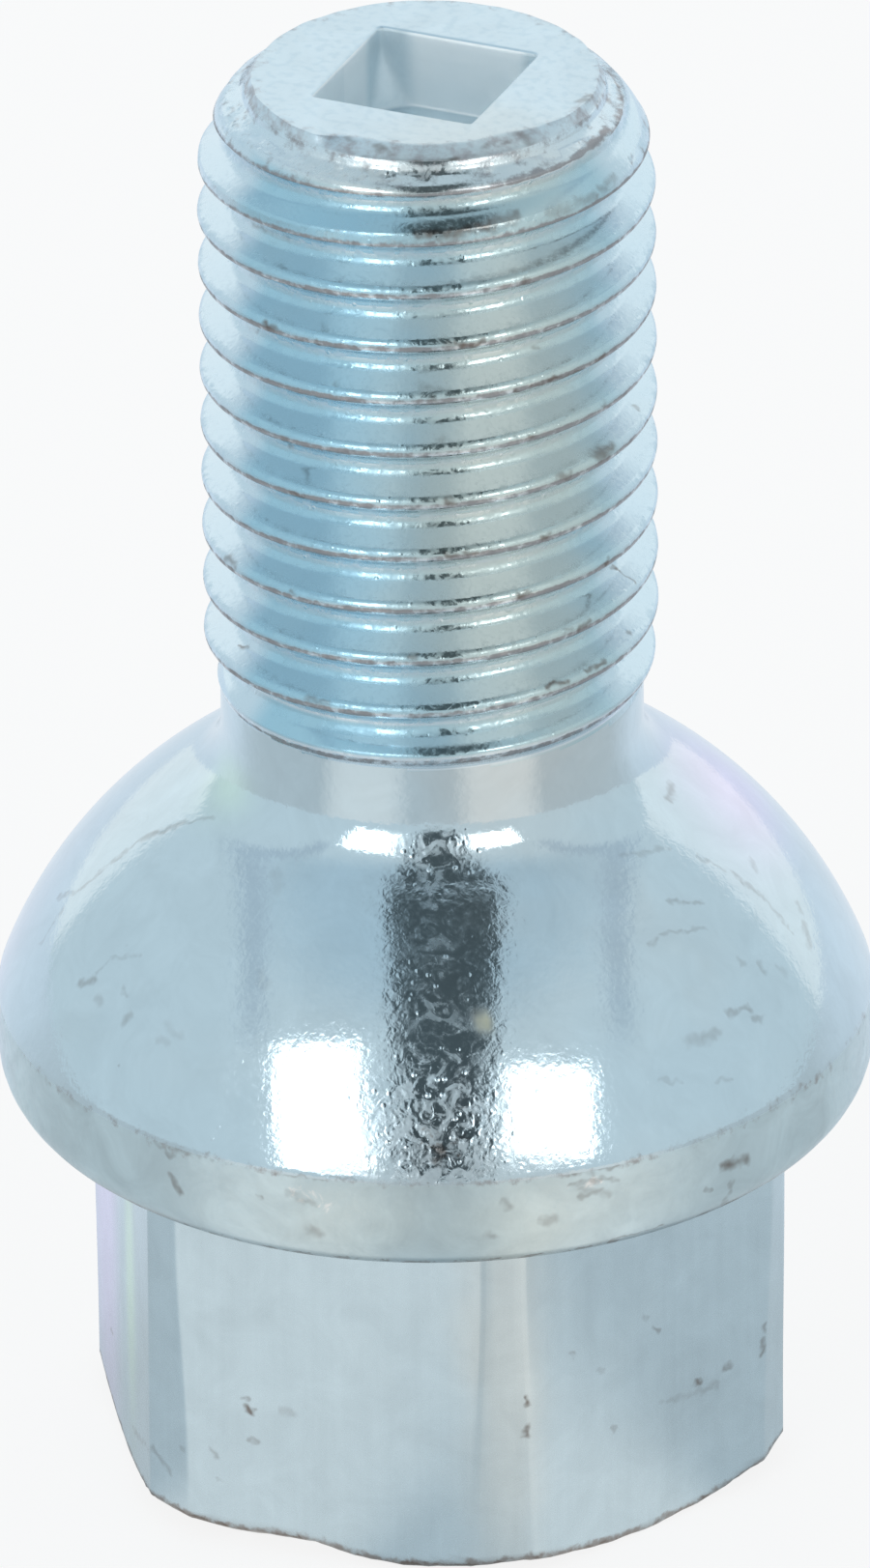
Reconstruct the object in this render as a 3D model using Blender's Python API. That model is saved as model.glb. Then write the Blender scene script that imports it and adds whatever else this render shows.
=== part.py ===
# Wheel bolt with a ball seat, forged, rolled and zinc plated in one piece.
# Metres, +Z up. The bolt stands on the end face of its hex head, with its thread upwards,
# and the origin is the middle of that face. One flat of the hex faces -Y.

import math

import bmesh
import bpy
from mathutils import Matrix

for existing in list(bpy.data.objects):
    bpy.data.objects.remove(existing)

# Hex head
HEX_ACROSS_FLATS = 0.0169
HEX_HEIGHT = 0.0102
HEX_CORNER_RADIUS = 0.0022
HEX_END_STEP = 0.0001
HEX_END_CHAMFER_ANGLE = 30.0

# Ball seat, and the collar that is turned down from the ball
BALL_SEAT_RADIUS = 0.0122
COLLAR_TURNED_DOWN = 0.00075
COLLAR_HEIGHT = 0.0028
COLLAR_LOWER_RADIUS = 0.0013

# Plain neck between the ball seat and the thread
NECK_DIAMETER = 0.0110
NECK_LENGTH = 0.00115
NECK_FILLET_RADIUS = 0.0020

# Thread M12 x 1.5, right-hand, with a run-out at its foot and a tapered lead at its tip
THREAD_DIAMETER = 0.0118
THREAD_PITCH = 0.0015
DEPTH_PER_PITCH = 0.5667
CREST_WIDTH_PER_PITCH = 0.13
THREAD_FLANK_ANGLE = 30.0
THREAD_LENGTH = 0.0172
RUN_OUT_LENGTH = 0.0024
LEAD_LENGTH = 0.0022
LEAD_STEP = 0.0004
THREAD_START_ANGLE = 24.6

# Chamfered tip with a square recess
TIP_FACE_DIAMETER = 0.0088
TIP_CHAMFER_HEIGHT = 0.0008
RECESS_SIDE = 0.0044
RECESS_DEPTH = 0.0021
RECESS_SQUARE_DEPTH = 0.0006
RECESS_FLOOR_DIAMETER = 0.0051
RECESS_FLOOR_DISH = 0.00015
RECESS_TURN_ANGLE = -3.6

# How far a cutter or a joined solid reaches past the surface that it crosses
OVERLAP = 0.0001

# Facets round the axis and along the curves
TURN_SEGMENTS = 60
SEAT_SEGMENTS = 9
FILLET_SEGMENTS = 5
CORNER_SEGMENTS = 3
WELD_DISTANCE = 0.00001
SHARP_EDGE_ANGLE = 32.0

# Heights and radii that follow from the sizes above
collar_radius = BALL_SEAT_RADIUS - COLLAR_TURNED_DOWN
neck_radius = NECK_DIAMETER / 2
thread_radius = THREAD_DIAMETER / 2
collar_top = HEX_HEIGHT + COLLAR_HEIGHT
seat_centre = collar_top - math.sqrt(BALL_SEAT_RADIUS ** 2 - collar_radius ** 2)
fillet_reach = neck_radius + NECK_FILLET_RADIUS
fillet_centre = seat_centre + math.sqrt((BALL_SEAT_RADIUS + NECK_FILLET_RADIUS) ** 2 - fillet_reach ** 2)
thread_foot = fillet_centre + NECK_LENGTH
tip_height = thread_foot + THREAD_LENGTH


def arc(centre_radius, centre_height, radius, start, end, segments):
    """Points of an arc in the plane of radius and height, with both ends."""
    points = []
    for step in range(segments + 1):
        angle = start + (end - start) * step / segments
        points.append((centre_radius + radius * math.cos(angle), centre_height + radius * math.sin(angle)))
    return points


def object_from(mesh_name, bm):
    mesh = bpy.data.meshes.new(mesh_name)
    bmesh.ops.recalc_face_normals(bm, faces=bm.faces)
    bm.to_mesh(mesh)
    bm.free()
    piece = bpy.data.objects.new(mesh_name, mesh)
    bpy.context.scene.collection.objects.link(piece)
    return piece


def turned(name, profile):
    """A solid of revolution, whose profile starts and ends on the axis."""
    bm = bmesh.new()
    verts = [bm.verts.new((radius, 0.0, height)) for radius, height in profile]
    edges = [bm.edges.new(pair) for pair in zip(verts, verts[1:])]
    bmesh.ops.spin(
        bm,
        geom=verts + edges,
        cent=(0.0, 0.0, 0.0),
        axis=(0.0, 0.0, 1.0),
        angle=math.tau,
        steps=TURN_SEGMENTS,
        use_merge=True,
    )
    bmesh.ops.remove_doubles(bm, verts=bm.verts, dist=WELD_DISTANCE)
    return object_from(name, bm)


def blank():
    """Collar, ball seat, neck and the unthreaded shank, turned as one profile."""
    contact_angle = math.atan2(fillet_centre - seat_centre, fillet_reach)
    seat_start = math.atan2(collar_top - seat_centre, collar_radius)
    profile = [(0.0, HEX_HEIGHT)]
    profile += arc(
        collar_radius - COLLAR_LOWER_RADIUS,
        HEX_HEIGHT + COLLAR_LOWER_RADIUS,
        COLLAR_LOWER_RADIUS,
        -math.pi / 2,
        0.0,
        FILLET_SEGMENTS,
    )
    profile += arc(0.0, seat_centre, BALL_SEAT_RADIUS, seat_start, contact_angle, SEAT_SEGMENTS)
    fillet = arc(
        fillet_reach,
        fillet_centre,
        NECK_FILLET_RADIUS,
        contact_angle + math.pi,
        math.pi,
        FILLET_SEGMENTS,
    )
    profile += fillet[1:]
    profile += [
        (neck_radius, thread_foot),
        (thread_radius, thread_foot + RUN_OUT_LENGTH),
        (thread_radius, tip_height - TIP_CHAMFER_HEIGHT - LEAD_LENGTH),
        (thread_radius - LEAD_STEP, tip_height - TIP_CHAMFER_HEIGHT),
        (TIP_FACE_DIAMETER / 2, tip_height),
        (0.0, tip_height),
    ]
    return turned("wheel_bolt", profile)


def hex_head():
    """Hex prism with rounded corners, its free end limited by a turned chamfer."""
    corner_distance = HEX_ACROSS_FLATS / 2 / math.cos(math.pi / 6)
    height = HEX_HEIGHT + OVERLAP
    bm = bmesh.new()
    bmesh.ops.create_cone(
        bm,
        cap_ends=True,
        segments=6,
        radius1=corner_distance,
        radius2=corner_distance,
        depth=height,
        matrix=Matrix.Translation((0.0, 0.0, height / 2)) @ Matrix.Rotation(math.pi / 6, 4, "Z"),
    )
    upright = [edge for edge in bm.edges if abs(edge.verts[0].co.z - edge.verts[1].co.z) > HEX_HEIGHT / 2]
    bmesh.ops.bevel(
        bm,
        geom=upright,
        offset=HEX_CORNER_RADIUS * math.tan(math.pi / 6),
        offset_type="OFFSET",
        segments=CORNER_SEGMENTS,
        profile=0.5,
        affect="EDGES",
        material=-1,
    )
    prism = object_from("hex_prism", bm)

    end_radius = HEX_ACROSS_FLATS / 2 - HEX_END_STEP
    rise = 2 * (corner_distance - end_radius)
    envelope = turned("hex_end_chamfer", [
        (0.0, 0.0),
        (end_radius, 0.0),
        (end_radius + rise, rise * math.tan(math.radians(HEX_END_CHAMFER_ANGLE))),
        (end_radius + rise, collar_top),
        (0.0, collar_top),
    ])
    combine(prism, envelope, "INTERSECT")
    return prism


def groove_cutter():
    """The thread's groove as a closed bar, wound right-handed up the shank.

    At the foot the bar moves outwards with each facet, until it is clear of the neck.
    """
    depth = DEPTH_PER_PITCH * THREAD_PITCH
    cut_depth = depth + OVERLAP
    flank_slope = math.tan(math.radians(THREAD_FLANK_ANGLE))
    root_width = THREAD_PITCH * (1 - CREST_WIDTH_PER_PITCH) - 2 * depth * flank_slope
    outer_width = root_width + 2 * cut_depth * flank_slope
    root_radius = thread_radius - depth
    lift = neck_radius + OVERLAP - root_radius
    section = [
        (0.0, -root_width / 2),
        (cut_depth, -outer_width / 2),
        (cut_depth, outer_width / 2),
        (0.0, root_width / 2),
    ]
    rise = THREAD_PITCH / TURN_SEGMENTS
    start_height = tip_height - THREAD_PITCH / 2 - THREAD_PITCH * THREAD_START_ANGLE / 360
    first = math.floor((thread_foot - start_height) / rise)
    last = math.ceil((tip_height + THREAD_PITCH - start_height) / rise)

    bm = bmesh.new()
    rings = []
    for station in range(first, last + 1):
        angle = math.tau * station / TURN_SEGMENTS
        height = start_height + rise * station
        fade = max(0.0, 1 - (height - thread_foot) / RUN_OUT_LENGTH)
        ring = []
        for outward, along in section:
            radius = root_radius + lift * fade + outward
            ring.append(bm.verts.new((radius * math.cos(angle), radius * math.sin(angle), height + along)))
        rings.append(ring)
    for lower, upper in zip(rings, rings[1:]):
        for corner in range(len(section)):
            after = (corner + 1) % len(section)
            bm.faces.new((lower[corner], lower[after], upper[after], upper[corner]))
    bm.faces.new(rings[0])
    bm.faces.new(reversed(rings[-1]))
    return object_from("thread_groove", bm)


def recess_cutter():
    """A square that closes in to a round at its dished floor."""
    top = tip_height + OVERLAP
    floor = tip_height - RECESS_DEPTH
    bm = bmesh.new()
    bmesh.ops.create_cube(
        bm,
        size=1.0,
        matrix=Matrix.Translation((0.0, 0.0, (top + floor) / 2))
        @ Matrix.Rotation(math.radians(RECESS_TURN_ANGLE), 4, "Z")
        @ Matrix.Diagonal((RECESS_SIDE, RECESS_SIDE, top - floor + 2 * OVERLAP, 1.0)),
    )
    square = object_from("recess_square", bm)
    corner_distance = RECESS_SIDE / math.sqrt(2)
    barrel = turned("recess_barrel", [
        (0.0, floor),
        (RECESS_FLOOR_DIAMETER / 2, floor + RECESS_FLOOR_DISH),
        (corner_distance, tip_height - RECESS_SQUARE_DEPTH),
        (corner_distance + OVERLAP, top),
        (0.0, top),
    ])
    combine(square, barrel, "INTERSECT")
    return square


def combine(target, other, operation):
    """Apply one exact Boolean to the target and remove the other object."""
    boolean = target.modifiers.new(operation.lower(), "BOOLEAN")
    boolean.operation = operation
    boolean.solver = "EXACT"
    boolean.object = other
    depsgraph = bpy.context.evaluated_depsgraph_get()
    result = bpy.data.meshes.new_from_object(target.evaluated_get(depsgraph))
    target.modifiers.remove(boolean)
    target.data = result
    bpy.data.objects.remove(other)


def zinc_plate():
    material = bpy.data.materials.new("zinc_plated_steel")
    material.use_nodes = True
    shader = material.node_tree.nodes["Principled BSDF"]
    shader.inputs["Base Color"].default_value = (0.62, 0.66, 0.69, 1.0)
    shader.inputs["Metallic"].default_value = 1.0
    shader.inputs["Roughness"].default_value = 0.3
    return material


def finish(piece):
    """Weld the seams of the cuts, then shade smooth between the sharp edges."""
    bm = bmesh.new()
    bm.from_mesh(piece.data)
    bmesh.ops.remove_doubles(bm, verts=bm.verts, dist=WELD_DISTANCE)
    bmesh.ops.dissolve_degenerate(bm, edges=bm.edges, dist=WELD_DISTANCE)
    bm.to_mesh(piece.data)
    bm.free()
    piece.data.name = piece.name
    piece.data.materials.clear()
    piece.data.materials.append(zinc_plate())
    piece.data.shade_smooth()
    piece.data.set_sharp_from_angle(angle=math.radians(SHARP_EDGE_ANGLE))


bolt = blank()
combine(bolt, groove_cutter(), "DIFFERENCE")
combine(bolt, recess_cutter(), "DIFFERENCE")
combine(bolt, hex_head(), "UNION")
finish(bolt)
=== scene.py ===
import math

import bmesh
import bpy
from mathutils import Matrix, Vector, noise


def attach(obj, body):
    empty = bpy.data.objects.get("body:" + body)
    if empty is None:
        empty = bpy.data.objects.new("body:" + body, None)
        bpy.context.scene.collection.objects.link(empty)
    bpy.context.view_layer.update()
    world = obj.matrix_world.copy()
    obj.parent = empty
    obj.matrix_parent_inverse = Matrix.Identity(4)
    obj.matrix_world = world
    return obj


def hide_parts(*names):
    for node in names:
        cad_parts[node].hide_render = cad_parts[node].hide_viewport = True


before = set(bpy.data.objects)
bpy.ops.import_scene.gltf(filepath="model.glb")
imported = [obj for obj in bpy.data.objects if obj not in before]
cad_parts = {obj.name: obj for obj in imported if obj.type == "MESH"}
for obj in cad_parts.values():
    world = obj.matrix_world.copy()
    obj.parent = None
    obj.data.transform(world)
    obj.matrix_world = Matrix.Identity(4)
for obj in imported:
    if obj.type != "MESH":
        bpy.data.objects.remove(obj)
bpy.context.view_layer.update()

scene = bpy.context.scene

# Lengths in the dictionaries are millimetres and angles are degrees, and the finished mesh is scaled
# to metres. Angles go round the bolt's axis from +X, and the photograph looks from view["azimuth"].
# A pair that is called an edge gives the values at which an amount is none and full.

view = {
    "azimuth": -70.2,
    "elevation": 27.46,
    "distance": 601.0,
    "lens": 529.73,
    "lean": 0.66,  # the bolt's top leans this far to the left
    "aimHeight": 18.95,
    "aimRight": 0.048,
    "aimUp": -0.229,
}


def direction(azimuth, elevation=0):
    a, e = math.radians(azimuth), math.radians(elevation)
    return Vector((math.cos(a) * math.cos(e), math.sin(a) * math.cos(e), math.sin(e)))


def around(angle, radius, height):
    a = math.radians(angle)
    return Vector((radius * math.cos(a), radius * math.sin(a), height))


def angleOf(point):
    return math.degrees(math.atan2(point.y, point.x))


def turnFrom(start, angle):
    # the shorter way round, between -180 and 180
    return (angle - start + 180) % 360 - 180


def between(pair, share):
    return pair[0] + (pair[1] - pair[0]) * share


def smoothStep(value, low, high):
    t = min(1.0, max(0.0, (value - low) / (high - low)))
    return t * t * (3 - 2 * t)


def softMin(a, b, width):
    near = max(width - abs(a - b), 0.0) / width
    return min(a, b) - near * near * width / 4


def makeCamera():
    back = direction(view["azimuth"], view["elevation"])
    right = direction(view["azimuth"] + 90)
    up = back.cross(right)
    aim = Vector((0, 0, view["aimHeight"])) + right * view["aimRight"] + up * view["aimUp"]
    camera = bpy.data.objects.new("camera", bpy.data.cameras.new("camera"))
    scene.collection.objects.link(camera)
    camera.data.lens = view["lens"]
    camera.data.sensor_width = 36
    camera.data.clip_start = 0.01
    camera.data.clip_end = 20
    lean = Matrix.Rotation(math.radians(-view["lean"]), 3, "Z")
    turn = Matrix((right, up, back)).transposed() @ lean
    camera.matrix_world = Matrix.Translation((aim + back * view["distance"]) * 0.001) @ turn.to_4x4()
    scene.camera = camera


makeCamera()
print("camera placed")


# The bolt is one ring of columns all the way. The thread is spun first, then the tip is grown
# upwards from its cut end and the body downwards.

bolt = {
    "height": 39.196,
    "columns": 240,  # mesh columns round the axis
    "firstColumn": -0.6,  # puts columns on the recess corners
}

thread = {
    "pitch": 1.5,
    "crestRounding": 0.22,
    "rootRounding": 0.33,
    "crestApex": 6.12,  # where the flanks' lines would meet, outside and inside
    "rootApex": 4.821,
    "flankSlope": 1.732,
    "crestTurns": (-60, -40, -20, 0, 20, 40, 60),  # the rows round a crest and a root
    "rootTurns": (0, 20, 40, 60),
    "lowerFlankRows": (0.35, 0.7),
    "upperFlankRows": (0.12, 0.88),
    "startAngle": 24.6,  # where the crest meets the height of the tip face
    "turns": 14,
    "firstHeight": 19.6,
    "joinWithin": 0.004,
    "cutAtNeck": 21.55,
    "cutAtTip": 38.62,
    "fadeFrom": 21.95,  # the thread runs out into the neck between these heights
    "fadeTo": 23.35,
}

tip = {
    # height and radius of the blank that the thread is rolled on, from the cut up and down
    "pilot": [
        (38.62, 4.80), (38.68, 4.71), (38.75, 4.67), (38.82, 4.65),
        (38.90, 4.625), (38.95, 4.60), (38.985, 4.56),
    ],
    "lead": [
        (36.2, 5.90), (36.9, 5.865), (37.3, 5.81), (37.55, 5.74), (37.8, 5.60),
        (38.1, 5.43), (38.28, 5.29), (38.45, 5.20), (38.52, 5.08), (38.62, 4.80),
    ],
    "leadRounding": 0.04,
    # the scuffed bevel round the end face starts at these angles and radii
    "bevelStart": [
        (-180, 4.42), (-135, 4.55), (-112, 4.50), (-98, 4.02), (-85, 3.98), (-70, 4.10), (-55, 4.05),
        (-42, 3.98), (-28, 4.22), (-15, 4.40), (10, 4.48), (70, 4.40), (180, 4.42),
    ],
    "bevelLeast": 0.1,
    "bevelCurve": 1.15,
    "bevelShares": (0.12, 0.35, 0.6, 0.85, 0.96, 1.04, 1.15),  # over 1 is on the face
    "bevelUnevenness": 0.05,
    "faceRing": 3.5,
    "faceShares": (0.0, 0.25, 0.5, 0.75, 0.92, 1.0),
}

recess = {
    "side": 4.4,
    "depth": 2.1,
    "squareDepth": 0.6,
    "floorRadius": 2.55,
    "floorDish": 0.15,
    "turn": -3.6,
    "mouthRounding": 0.12,
    "cornerRounding": 0.2,
    "taperRounding": 0.08,
    "mouthTurns": (22.5, 45, 67.5, 90),
    "wallDepths": (0.35, 0.6, 0.8, 1.1, 1.4, 1.7, 1.92, 2.02, 2.08),
    "floorShares": (0.97, 0.9, 0.75, 0.55, 0.35, 0.15),
}

neck = {
    "radius": 5.5,
    "foot": 21.3,
    "filletRadius": 2.0,
    "filletReach": 7.5,
    "filletHeight": 20.846,
    "filletSteps": 12,
}

ball = {
    "radius": 12.2,
    "centre": 8.788,
    "step": 0.95,  # degrees between rings
}

collar = {
    "radius": 11.45,
    "top": 13.0,
    "bottom": 10.2,
    "edgeRounding": 0.16,
    "edgeSteps": 4,
    "sideShares": (0.25, 0.5, 0.75, 1.0),
    "lowerRounding": 1.3,
    "lowerSteps": 8,
    "undersideShares": (0.5, 0.9, 1.0),
}

hexHead = {
    "acrossFlats": 16.9,
    "flatAngle": -90.0,
    "edgeRounding": 0.03,
    # the corners are flat-topped bands: their distance from the axis and half their angle, near the
    # end face and near the collar
    "cornerHeights": (1.5, 9.0),
    "cornerDistance": (9.30, 9.45),
    "cornerBand": (4.9, 3.6),
    # columns either side of a corner, which move to these rows beside the band's two edges
    "stillColumns": (-30.6, -9.6, 8.4, 30.6),
    "leftColumns": (-8.1, -6.6, -5.1, -3.6),
    "rightColumns": (2.4, 3.9, 5.4, 6.9),
    "bandRows": (-0.9, -0.25, 0.25, 0.9),
    "rowHeights": (
        10.1, 9.6, 8.8, 7.9, 7.0, 6.1, 5.2, 4.3, 3.4, 2.6, 1.9, 1.4,
        1.05, 0.8, 0.65, 0.52, 0.4, 0.3, 0.2, 0.12, 0.06, 0.02, 0.0,
    ),
    "endFaceRadius": 8.35,
    "endFaceShares": (0.96, 0.88, 0.7, 0.5, 0.3, 0.12),
    "endSlope": 1.732,
    "endRounding": 0.16,
    "endUnevenness": 0.13,
    "endLumps": ((9, 0.6, (0, 0, 0)), (25, 0.4, (5, 2, 0))),  # scale, share and shift
    "endBelow": 2.5,  # the end's chamfer can't reach higher
    "footCut": (-96.0, 13.0, 0.40),  # the foot is worn away here: angle, half width and height
}


def columnAngle(column):
    return bolt["firstColumn"] + column * 360 / bolt["columns"]


def onColumn(column, radius, height):
    return around(columnAngle(column), radius, height)


def columnAt(point):
    return (angleOf(point) - bolt["firstColumn"]) * bolt["columns"] / 360


def arc(middle, radius, start, end, steps):
    # all but the first point
    turns = [math.radians(between((start, end), i / steps)) for i in range(1, steps + 1)]
    return [middle + radius * Vector((math.cos(a), math.sin(a))) for a in turns]


def roundedCorner(before, corner, after, cut, steps):
    start = corner + (before - corner).normalized() * cut
    end = corner + (after - corner).normalized() * cut
    shares = [i / steps for i in range(steps + 1)]
    return [start.lerp(corner, t).lerp(corner.lerp(end, t), t) for t in shares]


def threadProfile():
    # crest and root are arcs that touch the flanks, which stand 30 degrees from the turns' planes
    crest, root, half = thread["crestRounding"], thread["rootRounding"], thread["pitch"] / 2
    lowerRoot, crestArc = [], []
    for turn in thread["rootTurns"]:
        a = math.radians(turn)
        reach = thread["rootApex"] + root * (2 - math.cos(a))
        lowerRoot.append(Vector((reach, -half + root * math.sin(a))))
    for turn in thread["crestTurns"]:
        a = math.radians(turn)
        reach = thread["crestApex"] - crest * (2 - math.cos(a))
        crestArc.append(Vector((reach, crest * math.sin(a))))
    upperRoot = [Vector((p.x, -p.y)) for p in reversed(lowerRoot)]
    # extra rows keep the flanks flat where they meet the roundings
    lowerFlank = [lowerRoot[-1].lerp(crestArc[0], t) for t in thread["lowerFlankRows"]]
    upperFlank = [crestArc[-1].lerp(upperRoot[0], t) for t in thread["upperFlankRows"]]
    return lowerRoot + lowerFlank + crestArc + upperFlank + upperRoot


def threadSpin():
    bm = bmesh.new()
    climb = thread["pitch"] * (bolt["firstColumn"] - thread["startAngle"]) / 360
    lowest = bolt["height"] + climb
    lowest -= thread["pitch"] * round((lowest - thread["firstHeight"]) / thread["pitch"])
    verts = [bm.verts.new(around(bolt["firstColumn"], p.x, lowest + p.y)) for p in threadProfile()]
    for a, b in zip(verts, verts[1:]):
        bm.edges.new((a, b))
    bmesh.ops.spin(
        bm, geom=bm.verts[:] + bm.edges[:], cent=(0, 0, 0), axis=(0, 0, 1), angle=math.tau,
        dvec=(0, 0, thread["pitch"] / bolt["columns"]), steps=bolt["columns"], use_merge=False)
    firstTurn = bm.verts[:] + bm.edges[:] + bm.faces[:]
    for turn in range(1, thread["turns"]):
        copied = bmesh.ops.duplicate(bm, geom=firstTurn)["geom"]
        moved = [v for v in copied if isinstance(v, bmesh.types.BMVert)]
        bmesh.ops.translate(bm, vec=(0, 0, thread["pitch"] * turn), verts=moved)
    bmesh.ops.remove_doubles(bm, verts=bm.verts, dist=thread["joinWithin"])
    return bm


def leadRadius(height):
    lead = tip["lead"]
    if height <= lead[0][0]:
        return lead[0][1] + 1
    for (low, lowRadius), (high, highRadius) in zip(lead, lead[1:]):
        if height <= high:
            return lowRadius + (highRadius - lowRadius) * (height - low) / (high - low)
    return lead[-1][1]


def threadRadius(radius, height):
    run = min(1.0, max(0.0, (height - thread["fadeFrom"]) / (thread["fadeTo"] - thread["fadeFrom"])))
    radius = between((neck["radius"], radius), run * (2 - run))
    return softMin(radius, leadRadius(height), tip["leadRounding"])


def shapeThread(bm, columnOf):
    for v in bm.verts:
        v[columnOf] = round(columnAt(v.co)) % bolt["columns"]
        v.co = onColumn(v[columnOf], threadRadius(v.co.xy.length, v.co.z), v.co.z)


def trimThread(bm, columnOf):
    cuts = {thread["cutAtNeck"]: (0, 0, -1), thread["cutAtTip"]: (0, 0, 1)}
    for height, outward in cuts.items():
        bmesh.ops.bisect_plane(
            bm, geom=bm.verts[:] + bm.edges[:] + bm.faces[:], dist=0.0001,
            plane_co=(0, 0, height), plane_no=outward, clear_outer=True)
    # each column keeps one point on the cut
    merged = {}
    for height in cuts:
        onCut = {}
        for v in bm.verts:
            if abs(v.co.z - height) < 0.001:
                at = columnAt(v.co)
                v[columnOf] = round(at) % bolt["columns"]
                onCut.setdefault(v[columnOf], []).append((abs(at - round(at)), v))
        for found in onCut.values():
            found.sort(key=lambda pair: pair[0])
            merged.update({pair[1]: found[0][1] for pair in found[1:]})
    bmesh.ops.weld_verts(bm, targetmap=merged)


def openRing(bm, height):
    rims = [e for e in bm.edges if e.is_boundary]
    return [e for e in rims if all(abs(v.co.z - height) < 0.001 for v in e.verts)]


def nextRing(bm, edges, columnOf, place):
    grown = bmesh.ops.extrude_edge_only(bm, edges=edges)["geom"]
    for v in grown:
        if isinstance(v, bmesh.types.BMVert):
            v.co = place(v[columnOf])
    return [e for e in grown if isinstance(e, bmesh.types.BMEdge) and e.is_boundary]


def closeRing(bm, edges, centre):
    grown = bmesh.ops.extrude_edge_only(bm, edges=edges)["geom"]
    verts = [v for v in grown if isinstance(v, bmesh.types.BMVert)]
    bmesh.ops.pointmerge(bm, verts=verts, merge_co=centre)


def recessRadius(angle, depth):
    half = recess["side"] / 2
    turned = math.radians(angle - recess["turn"])
    larger = max(abs(math.cos(turned)), abs(math.sin(turned)))
    smaller = min(abs(math.cos(turned)), abs(math.sin(turned)))
    # the two sides of a corner meet softly
    radius = softMin(half / max(larger, 1e-6), half / max(smaller, 1e-6), recess["cornerRounding"])
    if depth > recess["squareDepth"]:
        run = (depth - recess["squareDepth"]) / (recess["depth"] - recess["squareDepth"])
        rounded = between((half * math.sqrt(2), recess["floorRadius"]), run)
        radius = softMin(radius, rounded, recess["taperRounding"])
    return radius


def faceEdge(angle):
    line = tip["bevelStart"]
    for (low, lowRadius), (high, highRadius) in zip(line, line[1:]):
        if angle <= high:
            break
    radius = between((lowRadius, highRadius), smoothStep(angle, low, high))
    return min(radius, tip["pilot"][-1][1] - tip["bevelLeast"])


def bevelPlace(column, share):
    angle = turnFrom(0, columnAngle(column))
    lowest, outer = tip["pilot"][-1]
    uneven = tip["bevelUnevenness"] * noise.noise(Vector((angle * 0.12, 3.7, 0)))
    fall = (bolt["height"] - lowest) * (1 - min(share, 1.0)) ** tip["bevelCurve"]
    return onColumn(column, between((outer, faceEdge(angle) + uneven), share), bolt["height"] - fall)


def facePlace(column, share):
    mouth = recessRadius(columnAngle(column), 0) + recess["mouthRounding"]
    return onColumn(column, between((tip["faceRing"], mouth), share), bolt["height"])


def recessPlace(column, depth, down, share=1.0, outward=0.0):
    radius = recessRadius(columnAngle(column), depth) * share + outward
    return onColumn(column, radius, bolt["height"] - down)


def addTip(bm, columnOf):
    ring = openRing(bm, thread["cutAtTip"])
    for height, radius in tip["pilot"][1:]:
        ring = nextRing(bm, ring, columnOf, lambda c: onColumn(c, radius, height))
    for share in tip["bevelShares"]:
        ring = nextRing(bm, ring, columnOf, lambda c: bevelPlace(c, share))
    for share in tip["faceShares"]:
        ring = nextRing(bm, ring, columnOf, lambda c: facePlace(c, share))
    for turn in recess["mouthTurns"]:
        outward = recess["mouthRounding"] * (1 - math.sin(math.radians(turn)))
        down = recess["mouthRounding"] * (1 - math.cos(math.radians(turn)))
        ring = nextRing(bm, ring, columnOf, lambda c: recessPlace(c, 0, down, outward=outward))
    for depth in recess["wallDepths"]:
        ring = nextRing(bm, ring, columnOf, lambda c: recessPlace(c, depth, depth))
    for share in recess["floorShares"]:
        dish = recess["depth"] + recess["floorDish"] * (1 - share)
        ring = nextRing(bm, ring, columnOf, lambda c: recessPlace(c, recess["depth"], dish, share))
    closeRing(bm, ring, (0, 0, bolt["height"] - recess["depth"] - recess["floorDish"]))


def bodyProfile():
    # from the neck down to the collar's underside
    reach, filletHeight, radius = neck["filletReach"], neck["filletHeight"], collar["radius"]
    toBall = math.degrees(math.atan2(reach, filletHeight - ball["centre"]))
    toCollar = math.degrees(math.atan2(radius, collar["top"] - ball["centre"]))
    rings = round((toCollar - toBall) / ball["step"])
    edge = Vector((radius, collar["top"]))
    foot = Vector((radius, collar["bottom"] + collar["lowerRounding"]))
    line = [Vector((neck["radius"], neck["foot"])), Vector((neck["radius"], filletHeight))]
    line += arc(Vector((reach, filletHeight)), neck["filletRadius"], 180, 270 - toBall, neck["filletSteps"])
    line += arc(Vector((0, ball["centre"])), ball["radius"], 90 - toBall, 90 - toCollar, rings)[:-1]
    line += roundedCorner(line[-1], edge, foot, collar["edgeRounding"], collar["edgeSteps"])
    line += [edge.lerp(foot, share) for share in collar["sideShares"]]
    middle = foot - Vector((collar["lowerRounding"], 0))
    return line + arc(middle, collar["lowerRounding"], 0, -90, collar["lowerSteps"])


def footRise(angle):
    at, wide, rise = hexHead["footCut"]
    return rise * math.exp(-(turnFrom(at, angle) / wide) ** 2)


def besideCorner(away, band):
    # columns near a corner move onto the edges of its band
    still = hexHead["stillColumns"]
    knots = [(still[0], still[0]), (still[1], still[1])]
    knots += [(column, row - band) for column, row in zip(hexHead["leftColumns"], hexHead["bandRows"])]
    knots += [(column, row + band) for column, row in zip(hexHead["rightColumns"], hexHead["bandRows"])]
    knots += [(still[2], still[2]), (still[3], still[3])]
    for (start, startTo), (end, endTo) in zip(knots, knots[1:]):
        if start <= away <= end:
            return startTo + (endTo - startTo) * (away - start) / (end - start)
    return away


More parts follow.
